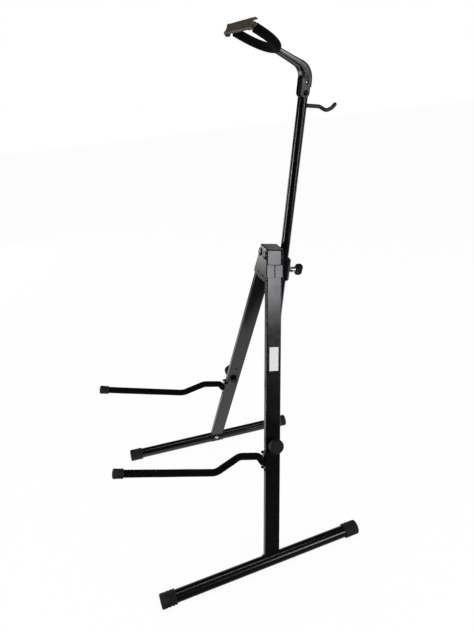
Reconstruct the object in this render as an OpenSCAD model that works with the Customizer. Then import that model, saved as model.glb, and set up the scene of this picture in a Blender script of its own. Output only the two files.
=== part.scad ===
// Folding cello stand: two splayed legs on long foot bars, a sheet metal head,
// a clamped neck post and a foam covered yoke with a security bar.
// Millimetres. +Z is up, the cello stands on the -Y side, the legs splay along X.
// The origin is on the floor, under the middle of the stand.

/* [Stance] */
// Half the distance between the foot bar axes
foot_half = 213; // [190:1:225]
// Lean of the leg plane back from upright
leg_lean = 10.6; // [6:0.1:14]
// Lean of the neck post back from upright
post_lean = 9; // [6:0.1:14]
// Half the distance between the leg pivots in the head
pivot_half = 12.46; // [11:0.02:14]
// Outward turn of each foot bar's front end
foot_toe = 2.8; // [0:0.1:5]
// Distance from the origin back to where the legs stand
base_y = 12; // [0:1:20]

/* [Foot bars] */
// Outer diameter of a foot bar
bar_d = 25; // [20:0.5:28]
// Wall of a foot bar
bar_wall = 1.5; // [1:0.1:3]
// Foot bar length in front of the leg, cap included
bar_front = 238; // [180:1:300]
// Foot bar length behind the leg, cap included
bar_back = 204; // [160:1:260]
// Outer diameter of a rubber foot cap
foot_cap_d = 30; // [28:0.5:36]
// Length of a foot cap
foot_cap_len = 31; // [25:1:45]

/* [Legs] */
// Leg tube size across the stand's side view
leg_w = 32; // [28:0.5:36]
// Leg tube thickness
leg_t = 13; // [12:0.5:15]
// Leg tube wall
leg_wall = 1.6; // [1:0.1:2.5]
// Outside corner radius of the leg tube
leg_corner = 2.5; // [1.8:0.1:4]
// Distance from the foot bar axis to the leg's pivot, along the leg
leg_pivot = 632; // [600:1:635]
// Length of leg tube above the pivot
leg_above = 9; // [8:0.5:10]
// Diameter of a leg pivot bolt
leg_bolt_d = 6; // [5:0.5:6.5]

/* [Head] */
// Sheet thickness of the head
sheet = 1.6; // [1.2:0.1:2]
// Clearance between the legs and the sheet beside them
side_gap = 0.4; // [0.3:0.05:0.6]
// Height of the head, along the leg plane
head_h = 62; // [56:1:70]
// Head height above the leg pivots
head_above = 15.3; // [15:0.1:20]
// Corner radius at the head's lower corners
head_corner = 8; // [6:1:15]
// Height of the end flanges that stop the legs
flange_h = 25; // [18:1:30]
// Outside bend radius where the head's top meets its sides
head_bend = 2.2; // [2.1:0.1:4]

/* [Arms] */
// Distance from the foot bar axis to an arm pivot, along the leg
arm_pivot = 251; // [240:1:260]
// Diameter of the steel rod in an arm
arm_rod_d = 10; // [8:0.5:11]
// Outer diameter of the foam sleeve on an arm
arm_foam_d = 14.5; // [13:0.5:15]
// Diameter of an arm's end cap
arm_cap_d = 19; // [17:0.5:20]
// Length of an arm's end cap
arm_cap_len = 19; // [14:1:25]
// Forward reach of an arm from the leg's middle plane
arm_reach = 320; // [290:1:320]
// Outward turn of an arm's straight run
arm_out = 2; // [0:0.1:3]
// Diameter of an arm pivot screw
arm_bolt_d = 8; // [6:0.5:9]
// Diameter of an arm lock knob
arm_knob_d = 30; // [24:0.5:32]
// Thickness of an arm lock knob
arm_knob_len = 13; // [10:0.5:16]

/* [Neck post and clamp] */
// Outer diameter of the neck post
post_d = 18; // [16:0.5:18]
// Wall of the neck post
post_wall = 1.5; // [1:0.1:2.5]
// Distance from the leg plane back to the post axis, at the clamp
post_offset = 30; // [30:0.5:34]
// Drop of the clamp's screw below the leg pivots, along the leg plane
clamp_drop = 34.3; // [32:0.1:38]
// Clamp height above its screw
clamp_up = 24; // [20:0.5:26]
// Clamp height below its screw
clamp_down = 19; // [14:0.5:24]
// Outer radius of the clamp round the post
clamp_r = 15; // [14:0.5:18]
// Wall of the nylon bush in the clamp
bush_wall = 1.2; // [1:0.1:1.3]
// Length of post below the clamp's screw
post_below = 276; // [200:1:280]
// Distance from the clamp's screw up to the neck pivot
neck_reach = 332; // [300:1:360]

/* [Neck and yoke] */
// Length of post above the neck pivot
post_above = 22; // [19:0.5:24]
// Wall of the neck's socket round the post
socket_wall = 1.5; // [1.2:0.1:2.5]
// Distance from the neck pivot to the bend's corner
neck_rise = 40; // [36:0.5:60]
// Distance from the bend's corner to the yoke's rod
neck_run = 67.4; // [55:0.1:90]
// Bend radius of the neck
neck_bend = 27; // [22:1:28]
// Rise of the yoke from square to the post
yoke_rise = 21.5; // [10:0.5:30]
// Thickness of the flattened neck where it meets the yoke
neck_flat = 9; // [8:0.5:12]
// Radius of the yoke's round base, at the rod's axis
yoke_r = 51; // [45:0.5:60]
// Outward splay of each prong
yoke_splay = 7; // [0:0.5:12]
// Length of each prong from its bend to its outward turn
yoke_prong = 22.5; // [18:0.5:40]
// Outward run of the rod's ends, which carry the security bar
end_run = 13; // [12:0.5:20]
// Diameter of the yoke's steel rod
yoke_rod_d = 8; // [7:0.5:8.5]
// Outer diameter of the yoke's foam
yoke_foam_d = 15.1; // [14:0.1:18]

/* [Security bar and bow hook] */
// Height of the security bar
guard_h = 17; // [15:0.5:20]
// Depth of the security bar
guard_depth = 4.5; // [3.5:0.5:5]
// Depth of the security bar's free end, which closes over the rod
catch_depth = 6; // [5:0.5:11]
// Wall of the security bar
guard_wall = 1.6; // [1.2:0.1:2]
// Distance from the neck pivot down to the bow hook
hook_drop = 20.5; // [17:0.5:40]
// Diameter of the bow hook's rod
hook_rod_d = 4; // [3:0.5:5]
// Outer diameter of the bow hook's sleeve
hook_d = 7; // [6:0.5:9]

/* [Hidden] */
$fn = 64;
running = 0.05;
seat_gap = 0.1;
bar_r = bar_d / 2;
cap_flat = 0.5;
bar_z = foot_cap_d / 2 - cap_flat;
bar_end_wall = 4;
strap_t = 1.8;
strap_angle = 25;
rivet_d = 5;
rivet_head_d = 9;
rivet_head_h = 2.2;

leg_top = leg_pivot + leg_above;
plug_lip = 1.2;
plug_len = 4;
splay = asin((foot_half - pivot_half) / leg_pivot);
pivot_z = leg_pivot * cos(splay);
clamp_at = pivot_z - clamp_drop;
head_top = pivot_z + head_above;
head_bottom = head_top - head_h;
head_in = leg_w / 2 + side_gap;
head_out = head_in + sheet;
side_in = leg_t / 2 + side_gap;
side_out = side_in + sheet;
flange_lift = 6;
flange_z = head_bottom / cos(splay) + flange_lift;
seam_gap = 1.4;
edge_step = 0.2;
flange_fold = 3;
flange_bevel = 1;
head_sag = 4.5;
bolt_head_d = 16.5;
bolt_head_h = 2.4;
leg_nut_d = 1.9 * leg_bolt_d;
leg_nut_h = 0.8 * leg_bolt_d;
arm_nut_d = 1.8 * arm_bolt_d;
stud_z = head_bottom + 6;
stud_d = 9;
stud_h = 1;

ear_in = side_in;
ear_out = side_out;
ear_r = 11;
ear_low_r = 13;
ear_low_y = -4;
ear_low_z = arm_pivot - 46;
web_low = arm_pivot - 54;
web_high = arm_pivot - 17;
spare_hole_z = arm_pivot + 37;
spare_hole_d = 5;
tab_h = 5;
tab_out = 3;
arm_root_z = arm_pivot - 42;
arm_root = 6;
arm_knee = 11.5;
arm_knee_drop = 24.4;
arm_crest = 71;
arm_crest_drop = 20;
arm_dip = 120;
arm_dip_drop = 47;
arm_tip_drop = 19;
foam_inset = 0.5;
knob_hub_d = 15;
knob_hub_h = 7;
knob_ribs = 24;
rib_d = 1.8;
arm_nut_h = 6;
washer_t = 1.2;

post_r = post_d / 2;
bush_in = post_r + running;
bush_out = bush_in + bush_wall;
bush_lip = 1.5;
clamp_bevel = 2;
hook_run = 26;
hook_valley = 40.5;
hook_dip = 6;
hook_out = 57.5;
hook_lip = 6.7;
screw_d = 6;
pad_d = 8;
pad_len = 2.4;
collar_d = 10;
collar_at = clamp_r + 2;
collar_len = 11;
wing_at = collar_at + collar_len;
wing_len = 15;
wing_w = 23;
wing_t = 7;
wing_turn = 12;
tip_plug_lip = 2;
tip_plug_len = 14;

socket_r = post_r + side_gap;
neck_r = socket_r + socket_wall;
socket_top = sqrt(post_above * post_above + post_r * post_r) + 1;
ear_half = 8.3;
ear_shift = 1;
ear_top = 24;
web_start = 10;
thin_power = 1.6;
neck_square = 0.4;
neck_bolt_d = 6;
button_z = 17;
button_d = 6;
button_len = 8;
button_gap = 0.3;
neck_corner = [0, 0, neck_rise];
yoke_base = neck_corner + neck_run * [0, -cos(yoke_rise), sin(yoke_rise)];
weld_flat = yoke_rod_d / 2 + seat_gap;

end_bend = 6;
foam_end = end_bend;
guard_pin_d = 4;
knuckle_r = 6;
guard_start = 3;
guard_gap = 0.3;
guard_front = yoke_rod_d / 2 + guard_gap + guard_wall;
guard_over = 5.5;
guard_edge = 2;
catch_len = 22;

label_w = 19;
label_h = 48;
label_t = 0.4;
label_z = 426;

// Unit vector along v
function unit(v) = v / norm(v);

// Arc of n steps that rounds the corner b of the path a, b, c with radius r
function corner_arc(a, b, c, r, n) =
    let (u = unit(a - b), w = unit(c - b))
    let (half = acos(u * w) / 2)
    let (mid = b + unit(u + w) * r / sin(half))
    let (from = b + u * r / tan(half) - mid)
    let (to = b + w * r / tan(half) - mid)
    let (turn = 180 - 2 * half)
    [for (i = [0:n]) mid + (sin(turn * (1 - i / n)) * from + sin(turn * i / n) * to) / sin(turn)];

// Path through the points p with every inner corner rounded to its radius in r
function round_path(p, r, n) =
    [p[0], for (i = [1:len(p) - 2]) each corner_arc(p[i - 1], p[i], p[i + 1], r[i - 1], n),
        p[len(p) - 1]];

// Direction of travel at point i of path p
function heading(p, i) = unit(p[min(i + 1, len(p) - 1)] - p[max(i - 1, 0)]);

// Size with its sign, raised to the power q: below 1 it squares a circle's corners
function squared(x, q) = sign(x) * pow(abs(x), q);

// Ring of n points round path point i: half sizes a square to side and b along side
function ring(p, i, side, a, b, n, q = 1) =
    let (t = heading(p, i))
    let (across = unit(cross(side, t)))
    let (along = cross(t, across))
    [for (k = [0:n - 1]) p[i] + a * squared(cos(360 * k / n), q) * across
        + b * squared(sin(360 * k / n), q) * along];

// Quads between ring i and ring i + 1 of n points, counted from point start
function band(start, i, n) =
    [for (k = [0:n - 1]) [start + i * n + k, start + i * n + (k + 1) % n,
        start + (i + 1) * n + (k + 1) % n, start + (i + 1) * n + k]];

// Solid swept along p, with half sizes a[i] and b[i] at each point, and flatter sides for q below 1
module swept(p, side, a, b, n, q = 1) {
    m = len(p);
    points = [for (i = [0:m - 1]) each ring(p, i, side, a[i], b[i], n, q)];
    walls = [for (i = [0:m - 2]) each band(0, i, n)];
    ends = [[for (k = [n - 1:-1:0]) k], [for (k = [0:n - 1]) (m - 1) * n + k]];
    polyhedron(points, [for (f = concat(walls, ends)) [for (j = [len(f) - 1:-1:0]) f[j]]]);
}

// Tube swept along p, with outer radius ro and inner radius ri
module swept_tube(p, side, ro, ri, n) {
    m = len(p);
    outer = [for (i = [0:m - 1]) each ring(p, i, side, ro, ro, n)];
    inner = [for (i = [0:m - 1]) each ring(p, i, side, ri, ri, n)];
    s = m * n;
    walls = [for (i = [0:m - 2]) each band(0, i, n)];
    bores = [for (i = [0:m - 2]) for (f = band(s, i, n)) [f[3], f[2], f[1], f[0]]];
    first = [for (k = [0:n - 1]) [s + k, s + (k + 1) % n, (k + 1) % n, k]];
    last = [for (k = [0:n - 1]) let (e = (m - 1) * n)
        [e + k, e + (k + 1) % n, s + e + (k + 1) % n, s + e + k]];
    faces = concat(walls, bores, first, last);
    polyhedron(concat(outer, inner), [for (f = faces) [f[3], f[2], f[1], f[0]]]);
}

// Rectangle a by b with round corners of radius r
module round_rect(a, b, r) {
    square([a - 2 * r, b], center = true);
    square([a, b - 2 * r], center = true);
    for (x = [-1, 1], y = [-1, 1]) translate([x * (a / 2 - r), y * (b / 2 - r)]) circle(r);
}

// Block from low to top, 2 * half wide, with its top corners rounded to r
module channel(half, low, top, r) {
    translate([-half, low]) square([2 * half, top - r - low]);
    translate([-half + r, top - r - 0.01]) square([2 * (half - r), r + 0.01]);
    for (s = [-1, 1]) translate([s * (half - r), top - r]) circle(r);
}

// Plane of the legs: leans back about the foot bar axes
module on_plane() translate([0, base_y, bar_z]) rotate([-leg_lean, 0, 0]) children();

// Frame of the right leg, or of the left one for s = -1: x outward, z along the leg
module on_leg(s) on_plane() mirror([s < 0 ? 1 : 0, 0, 0])
    translate([foot_half, 0, 0]) rotate([0, -splay, 0]) children();

// Frame of a foot bar: y along the bar, to the back
module on_bar(s) mirror([s < 0 ? 1 : 0, 0, 0])
    translate([foot_half, base_y, bar_z]) rotate([0, 0, foot_toe]) children();

// Frame of the post: z up along its axis from the clamp's middle, y to the back
module on_post() on_plane() translate([0, post_offset, clamp_at])
    rotate([leg_lean - post_lean, 0, 0]) children();

// Frame of the neck: the post's frame, moved up to the neck pivot
module on_neck() on_post() translate([0, 0, neck_reach]) children();

// Frame of the yoke: prongs along -y from its base, z square to its plane
module on_yoke() on_neck() translate(yoke_base) rotate([-yoke_rise, 0, 0]) children();

// Cylinder along +y, from y = from to y = to
module rod_y(d, from, to) translate([0, from, 0]) rotate([-90, 0, 0]) cylinder(d = d, h = to - from);

// Cylinder along +x, from x = from to x = to
module rod_x(d, from, to) translate([from, 0, 0]) rotate([0, 90, 0]) cylinder(d = d, h = to - from);

// Plate in the YZ plane from x = from, of thickness t
module plate_x(from, t) translate([from, 0, 0]) rotate([90, 0, 90]) linear_extrude(t) children();

// Domed head on a face that looks along +z
module dome(d, h) intersection() {
    radius = (d * d / 4 + h * h) / (2 * h);
    translate([0, 0, h - radius]) sphere(radius);
    cylinder(d = d, h = h);
}

// Half width of the head's plates at height z in the leg plane
function head_half(z) = foot_half - z * tan(splay) + (side_out + 3 * edge_step) / cos(splay);

// Outline of the head's front and back plates, whose lower edge hangs down by head_sag
module head_outline() {
    half = head_half(head_bottom);
    top = [head_half(head_top), head_top];
    low = [half, head_bottom];
    right = [top, each corner_arc(top, low, [0, head_bottom - 2 * head_sag], head_corner, 10),
        for (x = [0.65, 0.45, 0.25, 0.08]) [x * half, head_bottom - head_sag * (1 - x * x)]];
    polygon(concat(right, [for (i = [len(right) - 1:-1:0]) [-right[i][0], right[i][1]]]));
}

module head_shell() color([0.36, 0.36, 0.36]) on_plane() difference() {
    intersection() {
        union() {
            folded_plates();
            for (s = [0, 1]) mirror([s, 0, 0]) end_flanges();
        }
        head_corners();
        mirror([1, 0, 0]) head_corners();
    }
    for (s = [-1, 1]) {
        translate([s * pivot_half, 0, pivot_z]) rod_y(leg_bolt_d + 2 * running, -head_out - 1, head_out + 1);
        translate([s * pivot_half, 0, stud_z]) rod_y(stud_d / 2 + 2 * running, -head_out - 1, 0);
    }
}

// Front, top and back of the head, folded from one sheet
module folded_plates() intersection() {
    translate([0, head_out, 0]) rotate([90, 0, 0]) linear_extrude(2 * head_out) head_outline();
    plate_x(-2 * head_h, 4 * head_h) difference() {
        channel(head_out, head_bottom - head_sag - 1, head_top, head_bend);
        channel(head_in, head_bottom - head_sag - 2, head_top - sheet, head_bend - sheet);
    }
}

// Long block along the right leg, whose corners round the folds of the end flanges
module head_corners() translate([foot_half, 0, 0]) rotate([0, -splay, 0])
    translate([side_out + edge_step - 2 * head_h, 0, 0])
        linear_extrude(2 * leg_pivot) round_rect(4 * head_h, 2 * (head_out + edge_step), flange_fold);

// Two flanges folded in from the plates, which stop the right leg
module end_flanges() translate([foot_half, 0, 0]) rotate([0, -splay, 0])
    for (s = [0, 1]) mirror([0, s, 0]) translate([side_in, seam_gap / 2, flange_z])
        flange_block();

// Half an end flange, with its upper outside edge bevelled
module flange_block() difference() {
    cube([sheet, head_in + (sheet - seam_gap) / 2, flange_h]);
    translate([sheet, -1, flange_h - flange_bevel]) rotate([0, -45, 0]) cube([sheet, 2 * head_out, 2 * sheet]);
}

module leg_pivot_bolts() color([0.06, 0.06, 0.06]) on_plane()
    for (s = [-1, 1]) translate([s * pivot_half, 0, pivot_z]) {
        rod_y(leg_bolt_d, -head_out - 0.5, head_out + leg_nut_h);
        translate([0, -head_out, 0]) rotate([90, 0, 0]) {
            cylinder(d = bolt_head_d, h = bolt_head_h / 2);
            translate([0, 0, bolt_head_h / 2]) dome(bolt_head_d, bolt_head_h / 2);
        }
    }

module leg_pivot_nuts() color([0.3, 0.3, 0.3]) on_plane()
    for (s = [-1, 1]) translate([s * pivot_half, head_out, pivot_z]) rotate([-90, 30, 0]) difference() {
        cylinder(d = leg_nut_d, h = leg_nut_h, $fn = 6);
        translate([0, 0, -1]) cylinder(d = leg_bolt_d + 2 * running, h = leg_nut_h + 2);
    }

module head_studs() color([0.4, 0.4, 0.4]) on_plane()
    for (s = [-1, 1]) translate([s * pivot_half, -head_out, stud_z]) rotate([90, 0, 0]) {
        dome(stud_d, stud_h);
        translate([0, 0, -sheet]) cylinder(d = stud_d / 2, h = sheet + 0.1);
    }

// Wall of the leg tube, with the strap that wraps the foot bar's inner side
module leg_solid(s) {
    on_leg(s) linear_extrude(leg_top) difference() {
        round_rect(leg_t, leg_w, leg_corner);
        round_rect(leg_t - 2 * leg_wall, leg_w - 2 * leg_wall, leg_corner - leg_wall);
    }
    on_bar(s) intersection() {
        rod_y(bar_d + 2 * seat_gap + 2 * strap_t, -leg_w / 2, leg_w / 2);
        translate([-bar_d, -leg_w, -bar_r + 1]) cube([bar_d - leg_t / 4, 2 * leg_w, bar_d]);
    }
}

module leg(s) color([0.05, 0.05, 0.05]) difference() {
    leg_solid(s);
    on_bar(s) rod_y(bar_d + 2 * seat_gap, -2 * leg_w, 2 * leg_w);
    on_bar(s) translate([-bar_r, -2 * leg_w, -2 * bar_d]) cube([4 * bar_d, 4 * leg_w, 2 * bar_d]);
    on_bar(s) foot_rivet_shank(seat_gap);
    on_leg(s) translate([0, 0, leg_pivot]) rod_y(leg_bolt_d + 2 * running, -leg_w, leg_w);
    on_leg(s) translate([0, 0, arm_pivot]) rod_x(arm_bolt_d + 2 * running, -leg_w, leg_w);
    on_leg(s) translate([0, 0, spare_hole_z]) rod_x(spare_hole_d, -leg_w, leg_w);
}

// Shank of a foot rivet with clearance c: it points in and up through strap and bar wall
module foot_rivet_shank(c) rotate([0, strap_angle, 0]) translate([-bar_r - strap_t - seat_gap - 1, 0, 0])
    rod_x(rivet_d + 2 * c, 0, strap_t + bar_wall + 3);

module foot_rivet(s) color([0.75, 0.75, 0.75]) on_bar(s) rotate([0, strap_angle, 0]) {
    outer = bar_r + seat_gap + strap_t;
    translate([-outer, 0, 0]) rod_x(rivet_d, 0, strap_t + bar_wall + 1);
    translate([-outer + 0.2, 0, 0]) rotate([0, -90, 0]) difference() {
        dome(rivet_head_d, rivet_head_h);
        translate([0, rivet_head_d, 0.2 - outer]) rotate([90, 0, 0])
            cylinder(r = outer, h = 2 * rivet_head_d);
    }
}

module leg_plug(s) color([0.08, 0.08, 0.08]) on_leg(s) {
    inner_t = leg_t - 2 * leg_wall - 2 * seat_gap;
    inner_w = leg_w - 2 * leg_wall - 2 * seat_gap;
    translate([0, 0, leg_top]) linear_extrude(plug_lip) round_rect(leg_t - 1, leg_w - 1, leg_corner - 0.5);
    translate([0, 0, leg_top - plug_len])
        linear_extrude(plug_len) round_rect(inner_t, inner_w, leg_corner - leg_wall);
}

module foot_bar(s) color([0.05, 0.05, 0.05]) on_bar(s) difference() {
    rod_y(bar_d, -bar_front + bar_end_wall, bar_back - bar_end_wall);
    rod_y(bar_d - 2 * bar_wall, -bar_front, bar_back);
    foot_rivet_shank(seat_gap);
}

// Rubber cap over a tube end at y = 0 that points along -y
module rubber_cap(d, len, tube_d, wall, rings) rotate([90, 0, 0]) rotate_extrude() difference() {
    union() {
        translate([0, -len]) square([d / 2, len - 3]);
        translate([0, -4]) square([d / 2 - 3, 4]);
        translate([d / 2 - 3, -3]) circle(3);
        translate([0, -3.01]) square([d / 2 - 2, 0.02]);
    }
    translate([0, -len - 1]) square([tube_d / 2 + seat_gap / 2, len + 1 - wall]);
    for (i = [1:rings]) translate([d / 2 + 0.4, -5 - i * (len - 9) / rings]) circle(1.2);
    translate([-d, -2 * len]) square([d, 3 * len]);
}

// Cap of a foot bar, worn flat where it meets the floor
module foot_cap() difference() {
    rubber_cap(foot_cap_d, foot_cap_len, bar_d, bar_end_wall, 3);
    translate([-foot_cap_d, -1, -bar_z - foot_cap_d]) cube([2 * foot_cap_d, foot_cap_len + 2, foot_cap_d]);
}

module front_cap(s) color([0.13, 0.13, 0.13]) on_bar(s) translate([0, -bar_front, 0]) foot_cap();

module back_cap(s) color([0.13, 0.13, 0.13]) on_bar(s) translate([0, bar_back, 0])
    rotate([0, 0, 180]) foot_cap();

module leg_label() color([0.93, 0.93, 0.93]) on_leg(1) translate([leg_t / 2, 0, label_z])
    rotate([0, 90, 0]) linear_extrude(label_t) square([label_h, label_w], center = true);

// Side ear of an arm bracket
module ear_outline() {
    translate([0, arm_pivot]) circle(ear_r);
    translate([ear_low_y, ear_low_z]) circle(ear_low_r);
    polygon([[ear_r, arm_pivot], [ear_low_y + ear_low_r, ear_low_z],
        [ear_low_y - ear_low_r, ear_low_z], [-ear_r, arm_pivot]]);
    translate([-head_out, web_low]) square([head_out + ear_low_y, web_high - web_low]);
}

module arm_bracket(s) color([0.05, 0.05, 0.05]) on_leg(s) difference() {
    union() {
        for (x = [ear_in, -ear_out]) plate_x(x, sheet) ear_outline();
        translate([-ear_out, -head_out, web_low]) cube([2 * ear_out, sheet, web_high - web_low]);
        for (z = [web_low, web_high - tab_h]) translate([-ear_out, -head_out - tab_out, z])
            cube([sheet, tab_out + 0.1, tab_h]);
        for (z = [web_low, web_high - tab_h]) translate([ear_in, -head_out - tab_out, z])
            cube([sheet, tab_out + 0.1, tab_h]);
    }
    translate([0, 0, arm_pivot]) rod_x(arm_bolt_d + 2 * running, -leg_w, leg_w);
}

// Corner points of an arm, from the bracket's web to the tip
arm_points = [[0, -head_out + arm_root, arm_root_z - 8], [0, -head_out - arm_knee, arm_pivot - arm_knee_drop],
    [0, -arm_crest, arm_pivot - arm_crest_drop], [0, -arm_dip, arm_pivot - arm_dip_drop],
    [(arm_reach - arm_dip) * tan(arm_out), -arm_reach, arm_pivot - arm_tip_drop]];
arm_path = round_path(arm_points, [10, 22, 26], 6);
arm_dir = unit(arm_points[4] - arm_points[3]);
arm_cap_wall = 4;
arm_rod_path = [for (i = [0:len(arm_path) - 1])
    i < len(arm_path) - 1 ? arm_path[i] : arm_path[i] - arm_cap_wall * arm_dir];
arm_foam_path = [for (i = [0:len(arm_path) - 1])
    i < len(arm_path) - 1 ? arm_path[i] : arm_path[i] - (arm_cap_len - 4) * arm_dir];

module arm_rod(s) color([0.2, 0.2, 0.2]) on_leg(s) difference() {
    swept(arm_rod_path, [1, 0, 0],
        [for (p = arm_path) arm_rod_d / 2], [for (p = arm_path) arm_rod_d / 2], 20);
    behind_web(0);
}

module arm_foam(s) color([0.06, 0.06, 0.06]) on_leg(s) difference() {
    swept_tube(arm_foam_path, [1, 0, 0], arm_foam_d / 2, arm_rod_d / 2 + seat_gap, 20);
    behind_web(foam_inset);
}

// Everything behind a bracket web's front face, from a distance of inset before it
module behind_web(inset) translate([-leg_w, -head_out - inset, web_low - leg_w])
    cube([2 * leg_w, leg_w, web_high - web_low + 2 * leg_w]);

// Turns -y to the direction of an arm's straight run
module at_arm_tip() translate(arm_points[4])
    rotate([-asin(arm_dir[2]), 0, 0]) rotate([0, 0, atan2(arm_dir[0], -arm_dir[1])]) children();

module arm_cap(s) color([0.13, 0.13, 0.13]) on_leg(s) at_arm_tip() difference() {
    rubber_cap(arm_cap_d, arm_cap_len, arm_rod_d, arm_cap_wall, 3);
    translate([0, arm_cap_len - 4.2, 0]) rod_y(arm_foam_d + 4 * seat_gap, 0, arm_cap_len);
}

module arm_nut(s) color([0.5, 0.5, 0.5]) on_leg(s) translate([-ear_out, 0, arm_pivot]) rotate([0, -90, 0])
    difference() {
        union() {
            cylinder(d = 1.15 * arm_nut_d, h = washer_t);
            cylinder(d = arm_nut_d, h = arm_nut_h, $fn = 6);
        }
        translate([0, 0, -1]) cylinder(d = arm_bolt_d + 2 * running, h = arm_nut_h + 2);
    }

module arm_knob(s) color([0.12, 0.12, 0.12]) on_leg(s) translate([0, 0, arm_pivot]) {
    face = ear_out + seat_gap;
    rod_x(arm_bolt_d, -ear_out - arm_nut_h + 1, face + 1);
    rod_x(knob_hub_d, face, face + knob_hub_h + 0.1);
    translate([face + knob_hub_h, 0, 0]) rotate([0, 90, 0]) {
        cylinder(d = arm_knob_d - rib_d, h = arm_knob_len - 2);
        cylinder(d = arm_knob_d - rib_d - 3, h = arm_knob_len);
        translate([0, 0, arm_knob_len - 2]) rotate_extrude() {
            translate([(arm_knob_d - rib_d) / 2 - 2, 0]) circle(2);
        }
        for (i = [0:knob_ribs - 1]) rotate(360 * i / knob_ribs)
            translate([(arm_knob_d - rib_d) / 2, 0, 0]) cylinder(d = rib_d, h = arm_knob_len - 2, $fn = 16);
    }
}

module neck_clamp() color([0.06, 0.06, 0.06]) difference() {
    union() {
        on_post() translate([0, 0, -clamp_down])
            cylinder(r = clamp_r, h = clamp_up + clamp_down - clamp_bevel);
        on_post() translate([0, 0, clamp_up - clamp_bevel])
            cylinder(r1 = clamp_r, r2 = clamp_r - clamp_bevel, h = clamp_bevel);
        on_plane() translate([-clamp_r + 2, head_out, clamp_at - clamp_down])
            cube([2 * clamp_r - 4, post_offset - head_out, clamp_up + clamp_down - 1]);
    }
    on_post() translate([0, 0, -2 * clamp_down]) cylinder(r = bush_out + seat_gap, h = 4 * clamp_up);
    on_post() rod_y(screw_d + 2 * running, bush_out, 2 * clamp_r);
    on_plane() translate([-2 * clamp_r, 0, 0]) cube([4 * clamp_r, head_out, head_top]);
}

module clamp_bush() color([0.16, 0.16, 0.16]) on_post() difference() {
    union() {
        translate([0, 0, -clamp_down]) cylinder(r = bush_out, h = clamp_up + clamp_down + bush_lip);
        translate([0, 0, clamp_up + seat_gap]) cylinder(r = bush_out + 1.5, h = bush_lip);
    }
    translate([0, 0, -2 * clamp_down]) cylinder(r = bush_in, h = 4 * clamp_up);
    rod_y(pad_d + 2 * running, 0, 2 * clamp_r);
}

module clamp_pad() color([0.75, 0.6, 0.3]) on_post() difference() {
    intersection() {
        rod_y(pad_d, 0, bush_out);
        translate([0, 0, -pad_d]) cylinder(r = bush_out - running, h = 2 * pad_d);
    }
    translate([0, 0, -pad_d]) cylinder(r = bush_in, h = 2 * pad_d);
}

module clamp_screw() color([0.7, 0.7, 0.7]) on_post() {
    rod_y(screw_d, bush_out + seat_gap, wing_at + 6);
    rod_y(collar_d, collar_at, wing_at - 1);
    rod_y(collar_d + 2, collar_at + 2, collar_at + 5);
}

module clamp_wing_knob() color([0.07, 0.07, 0.07]) on_post() rotate([0, wing_turn, 0]) difference() {
    union() {
        rod_y(collar_d + 4, wing_at, wing_at + 7);
        translate([0, wing_at + wing_len / 2, 0]) rotate([90, 0, 90]) linear_extrude(wing_t, center = true)
            round_rect(wing_len, wing_w, 5);
    }
    rod_y(screw_d + 2 * seat_gap, wing_at - 1, wing_at + 6 + seat_gap);
}

module neck_post() color([0.05, 0.05, 0.05]) on_post() difference() {
    translate([0, 0, -post_below]) cylinder(d = post_d, h = post_below + neck_reach + post_above);
    translate([0, 0, -post_below - 1])
        cylinder(r = post_r - post_wall, h = post_below + neck_reach + post_above + 2);
    translate([0, 0, neck_reach]) rod_x(neck_bolt_d + 2 * running, -post_d, post_d);
    translate([0, 0, neck_reach + button_z]) rod_x(button_d + 2 * running, 0, post_d);
    translate([0, 0, neck_reach - hook_drop]) rod_y(hook_rod_d + 2 * running, 0, post_d);
}

module post_top_plug() color([0.1, 0.1, 0.1]) on_neck() difference() {
    union() {
        translate([0, 0, -5]) cylinder(r = post_r - post_wall - seat_gap, h = post_above + 5);
        translate([0, 0, post_above]) cylinder(r1 = post_r, r2 = post_r - 2, h = 1.5);
    }
    rod_x(neck_bolt_d + 2 * running, -post_d, post_d);
    translate([0, 0, button_z]) rod_x(button_d + 2 * running, -1, post_d);
}

module post_bottom_plug() color([0.1, 0.1, 0.1]) on_post() translate([0, 0, -post_below]) {
    cylinder(r = post_r - post_wall - seat_gap, h = tip_plug_len);
    translate([0, 0, -tip_plug_lip]) cylinder(r1 = post_r - 1, r2 = post_r, h = tip_plug_lip);
}

// Bow hook's route from inside the post's back wall to its tip
hook_points = [[0, post_r - post_wall, -hook_drop], [0, post_r + hook_run, -hook_drop],
    [0, post_r + hook_valley, -hook_drop - hook_dip], [0, post_r + hook_valley + 10.5, -hook_drop - 1],
    [0, post_r + hook_out, -hook_drop + hook_lip]];
hook_path = round_path(hook_points, [8, 10, 12], 4);

module bow_hook_rod() color([0.3, 0.3, 0.3]) on_neck() swept(hook_path, [1, 0, 0],
    [for (p = hook_path) hook_rod_d / 2], [for (p = hook_path) hook_rod_d / 2], 16);

module bow_hook_sleeve() color([0.06, 0.06, 0.06]) on_neck() difference() {
    swept(concat([[0, post_r + 1, -hook_drop]], [for (i = [1:len(hook_path) - 1]) hook_path[i]],
            [hook_path[len(hook_path) - 1] + 2 * heading(hook_path, len(hook_path) - 1)]), [1, 0, 0],
        [for (i = [0:len(hook_path)]) i < len(hook_path) ? hook_d / 2 : hook_d / 2 - 1.2],
        [for (i = [0:len(hook_path)]) i < len(hook_path) ? hook_d / 2 : hook_d / 2 - 1.2], 16);
    swept(hook_path, [1, 0, 0], [for (p = hook_path) hook_rod_d / 2 + seat_gap],
        [for (p = hook_path) hook_rod_d / 2 + seat_gap], 16);
}

module neck_pivot_rivet() color([0.4, 0.4, 0.4]) on_neck() {
    for (s = [0, 1]) mirror([s, 0, 0]) translate([neck_r + running, 0, 0]) rotate([0, 90, 0]) dome(9, 1.8);
    rod_x(neck_bolt_d, -neck_r - 0.5, neck_r + 0.5);
}

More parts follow.
